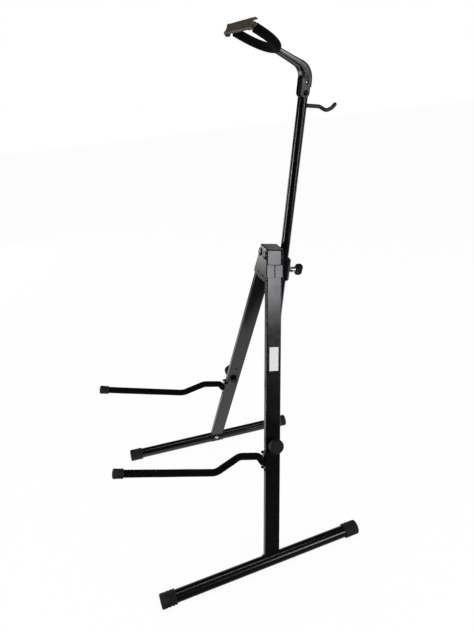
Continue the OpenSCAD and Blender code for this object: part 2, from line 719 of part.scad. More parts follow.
module neck_button() color([0.8, 0.8, 0.8]) on_neck() translate([0, 0, button_z])
    intersection() {
        rod_x(button_d, post_r - button_len, post_r + side_gap - running);
        translate([post_r - 4.2, 0, 0]) sphere(4.5);
    }

// Neck's route from below the pivot to the yoke's rod
neck_path = concat([[0, 0, web_start], [0, 0, web_start + 4]],
    corner_arc([0, 0, 0], neck_corner, yoke_base, neck_bend, 10),
    [for (d = [neck_run / 2, weld_flat]) yoke_base - d * unit(yoke_base - neck_corner)]);
neck_steps = len(neck_path) - 1;
// Half thickness in the bend's plane and half width across it, along the neck
neck_thick = [for (i = [0:neck_steps]) i < 2 ? neck_r
    : neck_r + (neck_flat / 2 - neck_r) * pow((i - 1) / (neck_steps - 1), thin_power)];
neck_wide = [for (i = [0:neck_steps]) i < 2 ? neck_r : neck_r + 1.4 * (i - 1) / (neck_steps - 1)];

module gooseneck() color([0.07, 0.07, 0.07]) on_neck() difference() {
    union() {
        swept(neck_path, [1, 0, 0], neck_thick, neck_wide, 36, neck_square);
        for (x = [socket_r, -neck_r]) plate_x(x, socket_wall) neck_ear();
    }
    translate([0, 0, -ear_half]) cylinder(r = socket_r, h = socket_top + ear_half);
    translate([-socket_r, -2 * neck_r, 0]) cube([2 * socket_r, 2 * neck_r, socket_top]);
    rod_x(neck_bolt_d + 2 * running, -2 * neck_r, 2 * neck_r);
    translate([0, 0, button_z]) rod_x(button_d + 2 * button_gap, 0, 2 * neck_r);
}

// Ear of the neck beside the post
module neck_ear() translate([-ear_shift, 0]) {
    circle(ear_half);
    translate([-ear_half, 0]) square([2 * ear_half, ear_top]);
}

// Half of the yoke's bend, for side s
function yoke_arc(s) = [for (i = [1:10]) let (t = (90 - yoke_splay) * i / 10)
    [s * yoke_r * sin(t), -yoke_r + yoke_r * cos(t), 0]];

// Point of a prong's straight run, at distance d from the bend
function on_prong(s, d) = [s * (yoke_r * cos(yoke_splay) + d * sin(yoke_splay)),
    -yoke_r + yoke_r * sin(yoke_splay) - d * cos(yoke_splay), 0];

// Where the security bar's pin crosses the rod's end
function rod_end(s) = on_prong(s, yoke_prong) + [s * end_run, 0, 0];

// Radii of the rod's rounded ends, and how far past the pin each lies
end_steps = [for (t = [0, 25, 45]) yoke_rod_d / 2 * [cos(t), sin(t)]];
function rod_half(s) = concat(yoke_arc(s),
    corner_arc(on_prong(s, 0), on_prong(s, yoke_prong), rod_end(s), end_bend, 6),
    [for (e = end_steps) rod_end(s) + [s * e[1], 0, 0]]);
function foam_half(s) = concat(yoke_arc(s), [on_prong(s, yoke_prong - foam_end)]);
function both_halves(left, right) =
    concat([for (i = [len(left) - 1:-1:0]) left[i]], [[0, 0, 0]], right);
yoke_path = both_halves(rod_half(-1), rod_half(1));
foam_path = both_halves(foam_half(-1), foam_half(1));
rod_points = len(yoke_path);
yoke_rod_radii = [for (i = [0:rod_points - 1]) let (k = min(i, rod_points - 1 - i))
    k < 3 ? end_steps[2 - k][0] : yoke_rod_d / 2];
pin_at = rod_end(-1);

module yoke_rod() color([0.25, 0.25, 0.25]) on_yoke() difference() {
    swept(yoke_path, [0, 0, 1], yoke_rod_radii, yoke_rod_radii, 20);
    translate(pin_at - [0, 0, guard_h]) cylinder(d = guard_pin_d + 2 * running, h = 2 * guard_h);
}

module yoke_foam() color([0.06, 0.06, 0.06]) on_yoke() difference() {
    swept_tube(foam_path, [0, 0, 1], yoke_foam_d / 2, yoke_rod_d / 2 + seat_gap, 24);
    translate([-neck_r - 1.4 - seat_gap, 0, -neck_flat / 2 - seat_gap])
        cube([2 * (neck_r + 1.4 + seat_gap), yoke_foam_d, neck_flat + 2 * seat_gap]);
}

module guard_pin() color([0.3, 0.3, 0.3]) on_yoke() translate(pin_at) {
    translate([0, 0, -guard_h / 2 - 0.3]) cylinder(d = guard_pin_d, h = guard_h + 0.6);
    translate([0, 0, guard_h / 2 + running]) dome(7, 1.2);
    mirror([0, 0, 1]) translate([0, 0, guard_h / 2 + running]) dome(7, 2.6);
}

// Stretch of the security bar's channel, open at the back, of the given depth
module guard_run(from, length, depth) rotate([90, 0, 0]) plate_x(from, length) difference() {
    channel(guard_h / 2, guard_front - depth, guard_front, guard_edge);
    channel(guard_h / 2 - guard_wall, -guard_h, guard_front - guard_wall, guard_edge - guard_wall);
}

// Security bar about its pin, with a knuckle above and below the rod's left end
module security_bar() color([0.17, 0.15, 0.13]) on_yoke() translate(pin_at) difference() {
    length = guard_over - 2 * pin_at[0];
    union() {
        guard_run(guard_start, length - guard_start, guard_depth);
        guard_run(length - catch_len, catch_len, catch_depth);
        for (s = [0, 1]) mirror([0, 0, s]) translate([0, 0, yoke_rod_d / 2 + seat_gap])
            cylinder(r = knuckle_r, h = (guard_h - yoke_rod_d) / 2 - seat_gap);
    }
    translate([0, 0, -guard_h]) cylinder(d = guard_pin_d + 2 * running, h = 2 * guard_h);
}

head_shell();
leg_pivot_bolts();
leg_pivot_nuts();
head_studs();
neck_clamp();
clamp_bush();
clamp_pad();
clamp_screw();
clamp_wing_knob();
leg(1);  // right_leg
leg_plug(1);  // right_leg_plug
foot_bar(1);  // right_foot_bar
front_cap(1);  // right_front_cap
back_cap(1);  // right_back_cap
foot_rivet(1);  // right_foot_rivet
leg_label();
leg(-1);  // left_leg
leg_plug(-1);  // left_leg_plug
foot_bar(-1);  // left_foot_bar
front_cap(-1);  // left_front_cap
back_cap(-1);  // left_back_cap
foot_rivet(-1);  // left_foot_rivet
arm_bracket(1);  // right_arm_bracket
arm_rod(1);  // right_arm_rod
arm_foam(1);  // right_arm_foam
arm_cap(1);  // right_arm_cap
arm_nut(1);  // right_arm_nut
arm_knob(1);  // right_arm_knob
arm_bracket(-1);  // left_arm_bracket
arm_rod(-1);  // left_arm_rod
arm_foam(-1);  // left_arm_foam
arm_cap(-1);  // left_arm_cap
arm_nut(-1);  // left_arm_nut
arm_knob(-1);  // left_arm_knob
neck_post();
post_top_plug();
post_bottom_plug();
bow_hook_rod();
bow_hook_sleeve();
neck_pivot_rivet();
neck_button();
gooseneck();
yoke_rod();
yoke_foam();
guard_pin();
security_bar();
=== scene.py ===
# %% [markdown]
# # A folding cello stand, dressed for its portrait
#
# The imported CAD model is the skeleton of this scene: every tube, plate and screw already has its real
# size and place. What is left for Blender is the soft goods, the finishes and the light. The first cell
# loads the model.

import math

import bpy
import numpy as np
from mathutils import Matrix, Vector


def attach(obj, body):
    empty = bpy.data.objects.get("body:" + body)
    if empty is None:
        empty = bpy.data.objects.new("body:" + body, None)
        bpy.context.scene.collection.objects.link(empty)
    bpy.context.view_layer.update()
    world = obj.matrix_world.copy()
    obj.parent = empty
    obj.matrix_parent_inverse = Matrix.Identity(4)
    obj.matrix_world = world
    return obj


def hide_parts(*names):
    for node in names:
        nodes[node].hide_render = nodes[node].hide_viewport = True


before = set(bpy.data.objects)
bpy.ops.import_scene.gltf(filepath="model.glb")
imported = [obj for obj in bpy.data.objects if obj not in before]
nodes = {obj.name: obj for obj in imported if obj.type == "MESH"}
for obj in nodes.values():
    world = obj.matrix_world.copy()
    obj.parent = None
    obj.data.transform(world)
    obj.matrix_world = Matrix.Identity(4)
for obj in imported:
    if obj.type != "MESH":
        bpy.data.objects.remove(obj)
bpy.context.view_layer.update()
scene = bpy.context.scene

# %% [markdown]
# ## Where things are
#
# The stand is built from a few leaning frames: the plane of the legs leans back, each leg splays in that
# plane, and the post leans on its own. A 4 by 4 matrix carries points from such a frame to the floor's
# frame, exactly as nested translations and rotations do in the CAD source. Lengths are written in
# millimetres, as a drawing gives them, and become metres in one place.

# %% Frames of the leg plane, the legs, the post and the yoke
MM = 0.001
base_y, bar_z, leg_lean = 12, 14.5, 10.6
foot_half, leg_splay = 213, 18.5
post_offset, clamp_at, post_lean, neck_reach = 30, 565, 9, 332
neck_rise, neck_run, yoke_rise = 40, 67.4, 21.5


def turn(axis, degrees):
    """Rotation matrix about x, y or z: the two other axes turn by the angle, as columns of cosines and
    sines."""
    return np.array(Matrix.Rotation(math.radians(degrees), 4, axis))


def move(x, y, z):
    """Translation matrix, in millimetres."""
    return np.array(Matrix.Translation((x, y, z)))


def placed(points, frame_of):
    """Points of a frame carried to the floor's frame, or back by the inverse: each gets a 1 as its fourth
    number, so that one product with the 4 by 4 matrix turns and moves it."""
    return (np.c_[points, np.ones(len(points))] @ frame_of.T)[:, :3]


leg_plane = move(0, base_y, bar_z) @ turn("X", -leg_lean)
right_leg = leg_plane @ move(foot_half, 0, 0) @ turn("Y", -leg_splay)
mirror_x = np.diag([-1.0, 1, 1, 1])
left_leg = leg_plane @ mirror_x @ move(foot_half, 0, 0) @ turn("Y", -leg_splay)
post = leg_plane @ move(0, post_offset, clamp_at) @ turn("X", leg_lean - post_lean)
neck = post @ move(0, 0, neck_reach)
rise = math.radians(yoke_rise)
yoke_base = move(0, -neck_run * math.cos(rise), neck_rise + neck_run * math.sin(rise))
yoke = neck @ yoke_base @ turn("X", -yoke_rise)
print("The yoke's base is at", np.round(yoke[:3, 3] * MM, 4), "m")

# %% [markdown]
# ## The camera
#
# The photograph is taken from the stand's right, from about the yoke's height, looking down. The place,
# the two angles and a small roll were solved from the lines of the legs, foot bars and post. A look-at
# matrix is built by hand from three directions at right angles: where the camera looks, its right, and its
# up.

# %% Camera at the photograph's viewpoint
eye = Vector((0.9133, -0.2177, 0.9572))
yaw, pitch, roll = math.radians(15.84), math.radians(26.58), math.radians(-4.705)
sensor, focal_pixels, photo_height = 36, 515.5, 632
ahead = Vector((-math.cos(yaw) * math.cos(pitch), math.sin(yaw) * math.cos(pitch), -math.sin(pitch)))
level = Vector((math.sin(yaw), math.cos(yaw), 0))
upright = level.cross(ahead)
right = level * math.cos(roll) + upright * math.sin(roll)
up = -level * math.sin(roll) + upright * math.cos(roll)

camera_data = bpy.data.cameras.new("Camera")
camera_data.sensor_width = sensor
camera_data.lens = sensor * focal_pixels / photo_height
camera_data.clip_start = 0.01
camera = bpy.data.objects.new("Camera", camera_data)
camera.matrix_world = Matrix.Translation(eye) @ Matrix((right, up, -ahead)).transposed().to_4x4()
scene.collection.objects.link(camera)
scene.camera = camera
print("Lens", round(camera_data.lens, 2), "mm on a 36 mm sensor, seen along", [round(x, 3) for x in ahead])

# %% [markdown]
# ## Helpers for every finish
#
# Colours are written as they are seen on a screen, in sRGB hex, and the renderer wants linear light, so
# one function turns the first into the second. Another adds one shader node with its settings and its
# links. All patterns read Object coordinates, which are metres here, so a noise of width 0.0025 has
# grains 2.5 mm wide. The rest are the few moves that each finish is made of: a noise, a colour that goes
# with it, a gloss that goes with it, and a low relief.

# %% Colour and node helpers
def linear(hex_colour):
    """Linear RGBA of an sRGB hex colour: each channel c becomes ((c + 0.055) / 1.055) ** 2.4, or near black
    c / 12.92."""
    channels = np.array([int(hex_colour[i:i + 2], 16) for i in (1, 3, 5)]) / 255
    light = np.where(channels > 0.04045, ((channels + 0.055) / 1.055) ** 2.4, channels / 12.92)
    return (*light.tolist(), 1.0)


def add(tree, kind, values=(), links=(), **settings):
    """Adds one node: settings are its properties, values its sockets' numbers, links its sockets that other
    nodes feed."""
    new = tree.nodes.new(kind)
    for name, value in settings.items():
        setattr(new, name, value)
    for name, value in dict(values).items():
        new.inputs[name].default_value = value
    for name, source in dict(links).items():
        tree.links.new(source, new.inputs[name])
    return new


def begin(name, colour, **surface):
    """A material with one Principled shader of that colour. Returns the material, its tree, the shader and
    the place of each surface point in metres."""
    material = bpy.data.materials.new(name)
    material.use_nodes = True
    tree = material.node_tree
    shader = tree.nodes["Principled BSDF"]
    shader.inputs["Base Color"].default_value = linear(colour)
    for socket, value in surface.items():
        shader.inputs[socket.replace("_", " ")].default_value = value
    metres = add(tree, "ShaderNodeTexCoord").outputs["Object"]
    return material, tree, shader, metres


def noise(tree, place, width, detail):
    """Cloudy noise whose lumps are width metres wide, with finer layers added up to detail."""
    cloud = add(tree, "ShaderNodeTexNoise", {"Scale": 1 / width, "Detail": detail}, {"Vector": place})
    return cloud.outputs["Fac"]


def tint(tree, shader, pattern, dark, light, start=0.0, end=1.0):
    """The shader's colour runs from dark to light while the pattern runs from start to end."""
    ramp = add(tree, "ShaderNodeValToRGB", {}, {"Fac": pattern})
    for stop, colour, place in zip(ramp.color_ramp.elements, (dark, light), (start, end)):
        stop.color = linear(colour)
        stop.position = place
    tree.links.new(ramp.outputs["Color"], shader.inputs["Base Color"])


def gloss(tree, shader, pattern, low, high, start=0.3, end=0.7):
    """The shader's roughness runs from low to high while the pattern runs from start to end."""
    span = {"From Min": start, "From Max": end, "To Min": low, "To Max": high}
    haze = add(tree, "ShaderNodeMapRange", span, {"Value": pattern})
    tree.links.new(haze.outputs["Result"], shader.inputs["Roughness"])


def relief(tree, shader, pattern, strength, depth):
    """A bump on the shader, depth metres deep where the pattern goes from 0 to 1, let through by strength."""
    bump = add(tree, "ShaderNodeBump", {"Strength": strength, "Distance": depth}, {"Height": pattern})
    tree.links.new(bump.outputs["Normal"], shader.inputs["Normal"])
    return bump


def dress(material, *names):
    """Gives CAD nodes this finish. Only their materials change, never their meshes or places."""
    for name in names:
        piece = nodes[name]
        if not piece.data.materials:
            piece.data.materials.append(material)
        for index in range(len(piece.material_slots)):
            piece.data.materials[index] = material
    print(material.name, "on", len(names), "pieces")

# %% [markdown]
# ## Black stove enamel
#
# Legs, foot bars, head, clamp, post and neck are steel tube and sheet, sprayed and baked with black
# enamel. Such a coat is nearly black, and all that the eye gets from it is reflection: pale where it
# mirrors the studio's soft light, deep black where it mirrors nothing. It is never as flat as glass.
# Sprayed drops flow together with an orange peel about 4 mm wide, and handling leaves slightly duller
# patches a few centimetres across. So the colour is almost constant, the roughness wanders, and a very
# low bump carries the peel. The foot bars are scuffed by shoes and floors, so their coat is duller and
# their highlights are softer.

# %% Enamel on the tubes and sheet
def stove_enamel(name, low, high, edge_radius):
    """Black enamel whose roughness wanders between low and high in patches 40 mm wide. Its orange peel has
    lumps 4 mm wide. On folded sheet the thick coat rounds the sharp edges, here by edge_radius in metres."""
    material, tree, shader, metres = begin(name, "#070707", Roughness=low, IOR=1.5)
    gloss(tree, shader, noise(tree, metres, 0.04, 3.0), low, high)
    tint(tree, shader, noise(tree, metres, 0.0009, 2.0), "#040404", "#0b0b0a")
    coat = relief(tree, shader, noise(tree, metres, 0.004, 0.0), 0.05, 0.0001)
    if edge_radius:
        edge = add(tree, "ShaderNodeBevel", {"Radius": edge_radius}, {}, samples=4)
        tree.links.new(edge.outputs["Normal"], coat.inputs["Normal"])
    return material


dress(stove_enamel("black_stove_enamel", 0.17, 0.25, 0.0), "neck_clamp", "neck_post", "gooseneck",
      "head_studs", "leg_pivot_bolts")
dress(stove_enamel("folded_sheet_enamel", 0.17, 0.25, 0.0011), "head_shell", "right_leg", "left_leg",
      "right_arm_bracket", "left_arm_bracket")
dress(stove_enamel("scuffed_stove_enamel", 0.21, 0.28, 0.0), "right_foot_bar", "left_foot_bar")

# %% [markdown]
# ## Moulded rubber and plastic
#
# The caps on the foot bars and arms are rubber, pressed in a mould whose walls were spark eroded: a fine
# grain, no gloss, and a grey bloom where dust stays in it. The knobs and plugs are nylon with a similar
# but harder surface, which shows a soft sheen. The security bar is a satin moulding in a brownish dark
# grey. The grain of the moulds is about 0.3 mm; at this distance it would vanish, so it is drawn at 0.8
# mm.

# %% Rubber caps
rubber, tree, shader, metres = begin("moulded_rubber", "#1c1c1c", Roughness=0.72, Specular_IOR_Level=0.35)
tint(tree, shader, noise(tree, metres, 0.012, 4.0), "#151515", "#2a2a29", 0.35, 0.7)
relief(tree, shader, noise(tree, metres, 0.0008, 2.0), 0.3, 0.0002)
dress(rubber, "right_front_cap", "right_back_cap", "left_front_cap", "left_back_cap", "right_arm_cap",
      "left_arm_cap")

# %% Nylon knobs and plugs
nylon, tree, shader, metres = begin("moulded_nylon", "#131314", Roughness=0.5, Specular_IOR_Level=0.3)
grain = add(tree, "ShaderNodeTexVoronoi", {"Scale": 1 / 0.0008}, {"Vector": metres})
gloss(tree, shader, noise(tree, metres, 0.006, 3.0), 0.42, 0.58)
relief(tree, shader, grain.outputs["Distance"], 0.35, 0.00015)
dress(nylon, "right_arm_knob", "left_arm_knob", "clamp_wing_knob", "right_leg_plug", "left_leg_plug",
      "post_top_plug", "post_bottom_plug", "clamp_bush")

# %% Satin moulding of the security bar
satin, tree, shader, metres = begin("satin_abs_moulding", "#4b4438", Roughness=0.42, Specular_IOR_Level=0.3)
flow = add(tree, "ShaderNodeMapping", {"Scale": (40.0, 400.0, 400.0)}, {"Vector": metres})
streaks = noise(tree, flow.outputs["Vector"], 1.0, 3.0)
tint(tree, shader, streaks, "#433c31", "#554d40", 0.35, 0.65)
relief(tree, shader, streaks, 0.2, 0.0001)
dress(satin, "security_bar")

# %% [markdown]
# ## Bare and plated metal
#
# The clamp screw, the snap button and the rivets on the feet are zinc plated: bright, slightly blue, and
# cloudy where the plating crystals are, in patches of about a millimetre. The nuts, the neck's rivet, the
# guard's pin, the hook's wire and the rods inside the foam are blackened steel, an oil-dark metal with
# soft highlights. The pad that presses on the post is plain brass.

# %% Zinc plate, blackened steel and brass
zinc, tree, shader, metres = begin("bright_zinc_plate", "#d2d3d6", Metallic=1.0, Roughness=0.28)
crystals = add(tree, "ShaderNodeTexVoronoi", {"Scale": 1 / 0.001}, {"Vector": metres})
gloss(tree, shader, crystals.outputs["Distance"], 0.2, 0.42, 0.0, 1.0)
dress(zinc, "clamp_screw", "neck_button", "right_foot_rivet", "left_foot_rivet")

blackened, tree, shader, metres = begin("blackened_steel", "#2b2b2d", Metallic=1.0, Roughness=0.4)
gloss(tree, shader, noise(tree, metres, 0.002, 4.0), 0.3, 0.5)
dress(blackened, "leg_pivot_nuts", "right_arm_nut", "left_arm_nut", "neck_pivot_rivet", "guard_pin",
      "right_arm_rod", "left_arm_rod", "yoke_rod", "bow_hook_rod")

brass, tree, shader, metres = begin("turned_brass", "#c9a95c", Metallic=1.0, Roughness=0.3)
rings = add(tree, "ShaderNodeTexWave", {"Scale": 1 / 0.0006, "Distortion": 1.0}, {"Vector": metres},
            bands_direction="Y")
gloss(tree, shader, rings.outputs["Fac"], 0.22, 0.4, 0.0, 1.0)
dress(brass, "clamp_pad")

# %% [markdown]
# ## The blank label
#
# The plate on the right leg is a white vinyl film. It carries no print here. Film of this kind is smooth,
# with a faint unevenness from its glue and slightly greyer patches where fingers pressed it down.

# %% White vinyl film
film, tree, shader, metres = begin("white_vinyl_film", "#f8f8f7", Roughness=0.42)
glue = noise(tree, metres, 0.008, 2.0)
tint(tree, shader, glue, "#f3f3f2", "#fcfcfb")
relief(tree, shader, glue, 0.1, 0.0001)
dress(film, "leg_label")

# %% [markdown]
# ## Closed cell foam
#
# The yoke and the arms wear foam tube, pushed over the steel rods. It is the blackest thing on the stand:
# its skin is a crust of broken cells about a millimetre wide, which swallows light at every angle. A
# plain rough black would look like paint, so the cells are a bump from two noises, and the skin gets a
# little sheen, which is the grey rim that foam shows at its edges.

# %% Foam and the hook's vinyl
foam, tree, shader, metres = begin("closed_cell_foam", "#070707", Roughness=0.95, Specular_IOR_Level=0.06,
                                   Sheen_Weight=0.02, Sheen_Roughness=0.6)
cells = add(tree, "ShaderNodeTexVoronoi", {"Scale": 1 / 0.0013}, {"Vector": metres})
crust = noise(tree, metres, 0.004, 5.0)
pits = add(tree, "ShaderNodeMath", {}, {0: cells.outputs["Distance"], 1: crust}, operation="ADD")
tint(tree, shader, crust, "#040404", "#0c0c0c", 0.35, 0.7)
relief(tree, shader, pits.outputs["Value"], 0.8, 0.0005)

vinyl, tree, shader, metres = begin("dipped_vinyl", "#131313", Roughness=0.42, IOR=1.53)
relief(tree, shader, noise(tree, metres, 0.005, 2.0), 0.3, 0.0003)
print("Soft finishes:", foam.name, vinyl.name)

# %% [markdown]
# ## Sleeves as surfaces
#
# A sleeve could be a curve with a bevel, but a bevelled curve has no wall, no cut ends and no creases.
# Here it is a surface of two parameters: how far along the rod, and how far round it. The outside, the
# two cut ends and the bore form one closed skin, and wherever the rod bends, the foam on the inner side
# gathers into small creases.

# %% The rod's route, its directions and its bends
def rounded(corners, radii, steps=16):
    """Polyline with round corners: at each corner an arc of that radius joins the two straight runs, as in
    the CAD source. An arc's points are blends of its start and end with weights sin((1 - t) a) and sin(t a),
    over sin a, where a is the angle that it sweeps."""
    corners = [np.array(c, float) for c in corners]
    route = [corners[0][None]]
    for before, here, after, radius in zip(corners, corners[1:], corners[2:], radii):
        back, on = before - here, after - here
        back, on = back / np.linalg.norm(back), on / np.linalg.norm(on)
        half = math.acos(back @ on) / 2
        middle = here + (back + on) / np.linalg.norm(back + on) * radius / math.sin(half)
        start = here + back * radius / math.tan(half) - middle
        end = here + on * radius / math.tan(half) - middle
        sweep = math.pi - 2 * half
        t = np.linspace(0, 1, steps)[:, None]
        route.append(middle + (np.sin(sweep * (1 - t)) * start + np.sin(sweep * t) * end) / math.sin(sweep))
    return np.vstack(route + [corners[-1][None]])


def even(route, step):
    """The same route with its points about a step apart, and each point's length from the start."""
    along = np.concatenate([[0], np.cumsum(np.linalg.norm(np.diff(route, axis=0), axis=1))])
    wanted = np.linspace(0, along[-1], int(along[-1] / step) + 1)
    return np.stack([np.interp(wanted, along, route[:, k]) for k in range(3)], axis=1), wanted


def directions(route, side):
    """At each point: the direction of travel, one direction across it and square to side, and the third."""
    ahead = np.gradient(route, axis=0)
    ahead /= np.linalg.norm(ahead, axis=1)[:, None]
    across = np.cross(np.array(side, float), ahead)
    across /= np.linalg.norm(across, axis=1)[:, None]
    return ahead, across, np.cross(ahead, across)


def spokes(around, across, third):
    """Angles a of one ring, and at each point of the route the directions cos a across + sin a third."""
    angle = np.linspace(0, 2 * math.pi, around, endpoint=False)
    cosine, sine = np.cos(angle)[None, :, None], np.sin(angle)[None, :, None]
    return angle, cosine * across[:, None] + sine * third[:, None]


print("A right angle of radius 10 mm has", len(rounded([(0, 0, 0), (30, 0, 0), (30, 30, 0)], [10])), "points")

# %% [markdown]
# The creases come from the bend itself. The rate at which the direction turns points to the inner side,
# and a fine wave along the sleeve is let through only there, and only as far as the bend is tight. Foam
# tube also has slow swellings a few centimetres long, because it stretches unevenly when it is pushed on.

# %% One closed skin for a sleeve


def sleeve(name, route, side, outer, bore, frame_of, material, step=1.2, around=48, edge=1.5, crease=0.45,
           swell=0.12, seed=0.0):
    """Outer skin: centre + r (cos a across + sin a third), where r is the outer radius, rounded off near the
    ends by edge, plus slow swellings sin(s / 31 + a) and creases sin(2 pi s / 5) on the inner side of bends.
    The bore is the same at the bore's radius, walked back, and the last ring joins the first."""
    centre, s = even(np.array(route, float), step)
    ahead, across, third = directions(centre, side)
    angle, spoke = spokes(around, across, third)
    bend = np.gradient(ahead, s, axis=0)
    window = np.ones(9) / 9
    smooth = np.stack([np.convolve(np.pad(bend[:, k], 4, mode="edge"), window, "valid") for k in range(3)], 1)
    inward = np.clip(np.einsum("ijk,ik->ij", spoke, smooth) * outer * 2.2, 0, 1)
    gap = np.minimum(s, s[-1] - s).clip(0, edge)
    round_off = edge - np.sqrt(edge ** 2 - (edge - gap) ** 2)
    wave = np.sin(2 * math.pi * s / 5 + seed)[:, None] * inward * crease - inward * crease * 0.6
    slow = np.sin(s[:, None] / 31 + angle[None] + seed) * swell * np.sin(s[:, None] / 17 + seed)
    radius = outer - round_off[:, None] + wave + slow
    skin = centre[:, None] + radius[:, :, None] * spoke
    inner = (centre[:, None] + bore * spoke)[::-3]
    first_ring = centre[:1, None] + bore * spoke[:1]
    rings = np.concatenate([skin, inner, first_ring] if (len(s) - 1) % 3 else [skin, inner])
    points = placed(rings.reshape(-1, 3), frame_of) * MM
    return skin_mesh(name, points, faces_between(len(rings), around, closed=True), material)


def faces_between(rings, around, closed):
    """Four-sided faces between neighbouring rings of points, and also from the last ring to the first if
    closed."""
    ring, slot = np.meshgrid(np.arange(rings if closed else rings - 1), np.arange(around), indexing="ij")
    next_ring, next_slot = (ring + 1) % rings, (slot + 1) % around
    return np.stack([ring * around + slot, ring * around + next_slot, next_ring * around + next_slot,
                     next_ring * around + slot], axis=-1).reshape(-1, 4)


def skin_mesh(name, points, quads, material):
    """A smooth mesh from arrays of points and four-sided faces. The signed volume, a sum of one product a
    face, tells whether the faces look out; if they look in, each is written backwards."""
    corner = points[quads]
    volume = np.einsum("ij,ij->", corner[:, 0], np.cross(corner[:, 1], corner[:, 2])) \
        + np.einsum("ij,ij->", corner[:, 0], np.cross(corner[:, 2], corner[:, 3]))
    if volume < 0:
        quads = quads[:, ::-1]
    mesh = bpy.data.meshes.new(name)
    mesh.vertices.add(len(points))
    mesh.vertices.foreach_set("co", points.astype(np.float32).ravel())
    mesh.loops.add(quads.size)
    mesh.loops.foreach_set("vertex_index", quads.astype(np.int32).ravel())
    mesh.polygons.add(len(quads))
    mesh.polygons.foreach_set("loop_start", np.arange(len(quads), dtype=np.int32) * 4)
    mesh.update(calc_edges=True)
    mesh.polygons.foreach_set("use_smooth", np.ones(len(quads), bool))
    mesh.validate()
    mesh.materials.append(material)
    piece = bpy.data.objects.new(name, mesh)
    scene.collection.objects.link(piece)
    print(name, len(quads), "faces, volume", round(abs(volume) / 6 * 1e6, 1), "cm3")
    return piece


# %% [markdown]
# ## Foam on the yoke
#
# The yoke's rod is a half circle with two prongs that splay a little. Its foam covers it from prong to
# prong, and behind it the flattened end of the neck is pressed into the foam, to be welded to the rod.

# %% Yoke sleeve
yoke_splay, yoke_radius, prong, turn_start = math.radians(7), 51.0, 22.5, 6.0
yoke_outer, yoke_bore = 15.1 / 2, 4.1
t = np.linspace(-(math.pi / 2 - yoke_splay), math.pi / 2 - yoke_splay, 81)
arch = np.stack([yoke_radius * np.sin(t), -yoke_radius + yoke_radius * np.cos(t), 0 * t], axis=1)
run = prong - turn_start
left_tip = arch[0] + run * np.array([-math.sin(yoke_splay), -math.cos(yoke_splay), 0])
right_tip = arch[-1] + run * np.array([math.sin(yoke_splay), -math.cos(yoke_splay), 0])
yoke_sleeve = sleeve("yoke_sleeve", np.vstack([left_tip, arch, right_tip]), (0, 0, 1), yoke_outer, yoke_bore,
                     yoke, foam, around=56, crease=0.25)
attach(yoke_sleeve, "neck")
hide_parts("yoke_foam")

# %% [markdown]
# ## Foam on the arms
#
# Each arm leaves its bracket upwards, turns over to the front, dips, and runs straight out to its cap.
# The sleeve starts at the bracket's web, where it is cut flat against the steel, so every point of its
# first rings that would lie behind the web slides forward along the rod until it touches the web's face.

# %% Arm sleeves
web_face, arm_pivot, arm_reach, arm_out = -18.5, 251.0, 320, 2
arm_outer, arm_bore, cap_depth = 14.5 / 2, 5.1, 15
root, knee, crest, dip = (-12, -50), (-29.5, -24.4), (-71, -20), (-120, -47)
tip_drop, arm_bends = 19, [10, 22, 26]
arm_corners = [(0, y, arm_pivot + above) for y, above in (root, knee, crest, dip)]
tip = np.array([(arm_reach + dip[0]) * math.tan(math.radians(arm_out)), -arm_reach, arm_pivot - tip_drop])
last_run = tip - np.array(arm_corners[-1])
arm_corners.append(tip - cap_depth * last_run / np.linalg.norm(last_run))
arm_route = rounded(arm_corners, arm_bends)
first = np.argmax(arm_route[:, 1] < web_face - 0.6)
heading = arm_route[first] - arm_route[first - 1]
start = arm_route[first - 1] + heading * (web_face - arm_route[first - 1][1]) / heading[1]
arm_route = np.vstack([start, arm_route[first:]])
for side, leg_frame, seed in (("right", right_leg, 1.0), ("left", left_leg, 2.5)):
    arm_sleeve = sleeve(f"{side}_arm_sleeve", arm_route, (1, 0, 0), arm_outer, arm_bore, leg_frame, foam,
                        seed=seed)
    points = np.empty(len(arm_sleeve.data.vertices) * 3, np.float32)
    arm_sleeve.data.vertices.foreach_get("co", points)
    flat = placed(points.reshape(-1, 3) / MM, np.linalg.inv(leg_frame))
    slide = np.clip(flat[:, 1] - web_face, 0, None) / -heading[1]
    flat += slide[:, None] * heading
    arm_sleeve.data.vertices.foreach_set("co", (placed(flat, leg_frame) * MM).astype(np.float32).ravel())
    arm_sleeve.data.update()
    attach(arm_sleeve, f"{side}_arm")
    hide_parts(f"{side}_arm_foam")

# %% [markdown]
# ## The bow hook's sleeve
#
# The hook's wire was dipped in vinyl. A dipped coat is a skin with a rounded, slightly fatter end where
# the last drop hung, so its radius grows a little towards the tip and then closes over it.

# %% Hook sleeve
hook_height, hook_bends, hook_points = -20.5, [8, 10, 12], 28
coat_radius, drop_swell, drop_centre, drop_spread = 3.45, 0.18, 6, 4
overhang, cap_length, wire_radius, closed_radius = 2, 3, 2.1, 0.05
hook_route = rounded([(0, 10, hook_height), (0, 35, hook_height), (0, 49.5, hook_height - 6),
                      (0, 60, hook_height - 1), (0, 66.5, hook_height + 6.7)], hook_bends)
end = hook_route[-1] - hook_route[-2]
centre, s = even(np.vstack([hook_route, hook_route[-1] + overhang * end / np.linalg.norm(end)]), 0.6)
_, across, third = directions(centre, (1, 0, 0))
left_over = s[-1] - s
radius = coat_radius + drop_swell * np.exp(-((left_over - drop_centre) / drop_spread) ** 2)
closing = ((cap_length - left_over) / cap_length).clip(0, 1)
radius = np.where(left_over < cap_length, radius * np.sqrt(1 - closing ** 2 * 0.98), radius)
_, spoke = spokes(hook_points, across, third)
collar = centre[:1, None] + wire_radius * spoke[:1]
skin = centre[:, None] + radius[:, None, None] * spoke
tip_ring = centre[-1:, None] + closed_radius * spoke[-1:]
rings = np.concatenate([collar, skin, tip_ring])
